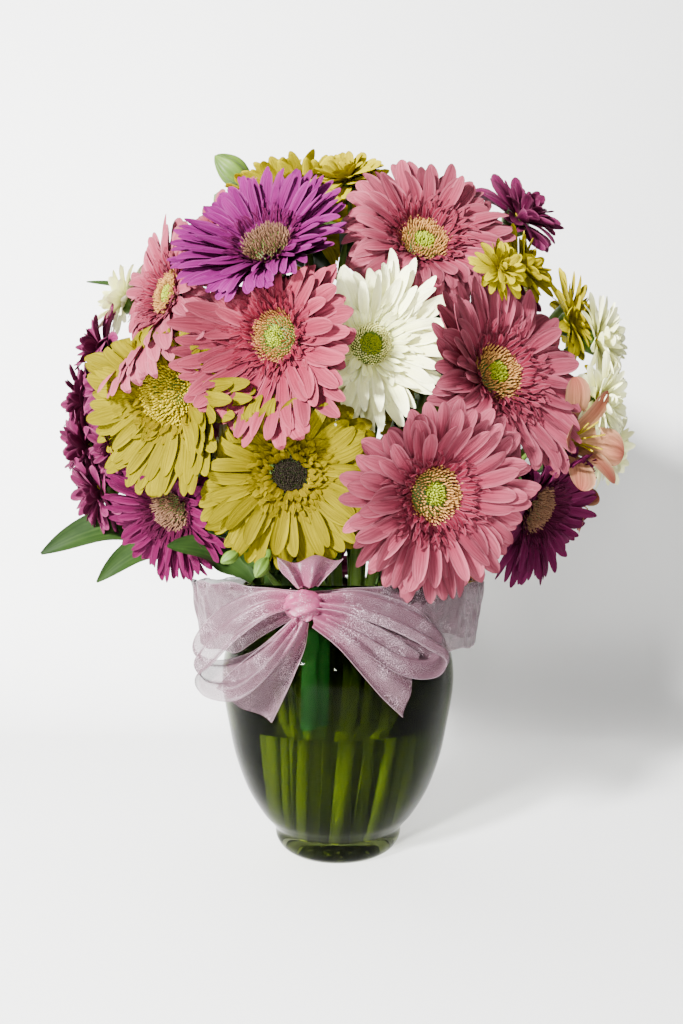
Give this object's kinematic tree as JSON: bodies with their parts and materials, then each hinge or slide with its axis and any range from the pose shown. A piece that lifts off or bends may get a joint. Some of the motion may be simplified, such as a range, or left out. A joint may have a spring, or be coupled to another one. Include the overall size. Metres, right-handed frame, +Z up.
{
  "type": "bouquet in a vase",
  "caption": "Round bouquet of gerberas with spray chrysanthemums and alstroemerias, standing in water in a footed glass vase with a flared lip and an organza ribbon bow.",
  "frame": {"origin": "centre of the vase foot's underside, on the surface it stands on", "axes": "+Z up through the vase, the bouquet's front and the bow face -Y, +X is the bouquet's right as the front is seen"},
  "size_m": [0.385, 0.2621, 0.4778],
  "materials": {
    "glass": "dark green transparent glass, polished",
    "water": "clear water",
    "organza": "sheer pink organza with a fine glitter",
    "stem": "fresh green, satin",
    "leaf": "fresh leaf, satin",
    "petal_yellow": "fresh petal, matte",
    "petal_pink": "fresh petal, matte",
    "petal_magenta": "fresh petal, matte",
    "petal_purple": "fresh petal, matte",
    "petal_white": "fresh petal, matte",
    "petal_cream": "fresh petal, matte"
  },
  "bodies": {
    "root": {"alstroemeria_back": "petal_cream", "alstroemeria_buds_front": "leaf", "alstroemeria_leaves_left": "leaf", "alstroemeria_right": "petal_cream", "alstroemeria_top": "leaf", "gerbera_magenta_back_low": "petal_magenta", "gerbera_magenta_low_left": "petal_magenta", "gerbera_magenta_low_right": "petal_magenta", "gerbera_magenta_top": "petal_magenta", "gerbera_pink_back_left": "petal_pink", "gerbera_pink_back_low": "petal_pink", "gerbera_pink_crown": "petal_pink", "gerbera_pink_left": "petal_pink", "gerbera_pink_low_right": "petal_pink", "gerbera_pink_mid_left": "petal_pink", "gerbera_pink_right": "petal_pink", "gerbera_pink_top": "petal_pink", "gerbera_pink_top_left": "petal_pink", "gerbera_white_back": "petal_white", "gerbera_white_mid": "petal_white", "gerbera_yellow_back_right": "petal_yellow", "gerbera_yellow_crown": "petal_yellow", "gerbera_yellow_dark_eye": "petal_yellow", "gerbera_yellow_left": "petal_yellow", "mums_purple_back": "petal_purple", "mums_purple_left": "petal_purple", "mums_purple_top": "petal_purple", "mums_white_left": "petal_white", "mums_white_right": "petal_white", "mums_yellow_right": "petal_yellow", "mums_yellow_top": "petal_yellow", "ribbon_band": "organza", "ribbon_knot": "organza", "ribbon_loop_left": "organza", "ribbon_loop_right": "organza", "ribbon_loop_top": "organza", "ribbon_tail_left": "organza", "ribbon_tail_right": "organza", "stem_magenta_back_low": "stem", "stem_magenta_low_left": "stem", "stem_magenta_low_right": "stem", "stem_magenta_top": "stem", "stem_pink_back_left": "stem", "stem_pink_back_low": "stem", "stem_pink_crown": "stem", "stem_pink_left": "stem", "stem_pink_low_right": "stem", "stem_pink_mid_left": "stem", "stem_pink_right": "stem", "stem_pink_top": "stem", "stem_pink_top_left": "stem", "stem_white_back": "stem", "stem_white_mid": "stem", "stem_yellow_back_right": "stem", "stem_yellow_crown": "stem", "stem_yellow_dark_eye": "stem", "stem_yellow_left": "stem", "vase": "glass", "water": "water"}
  },
  "joints": []
}
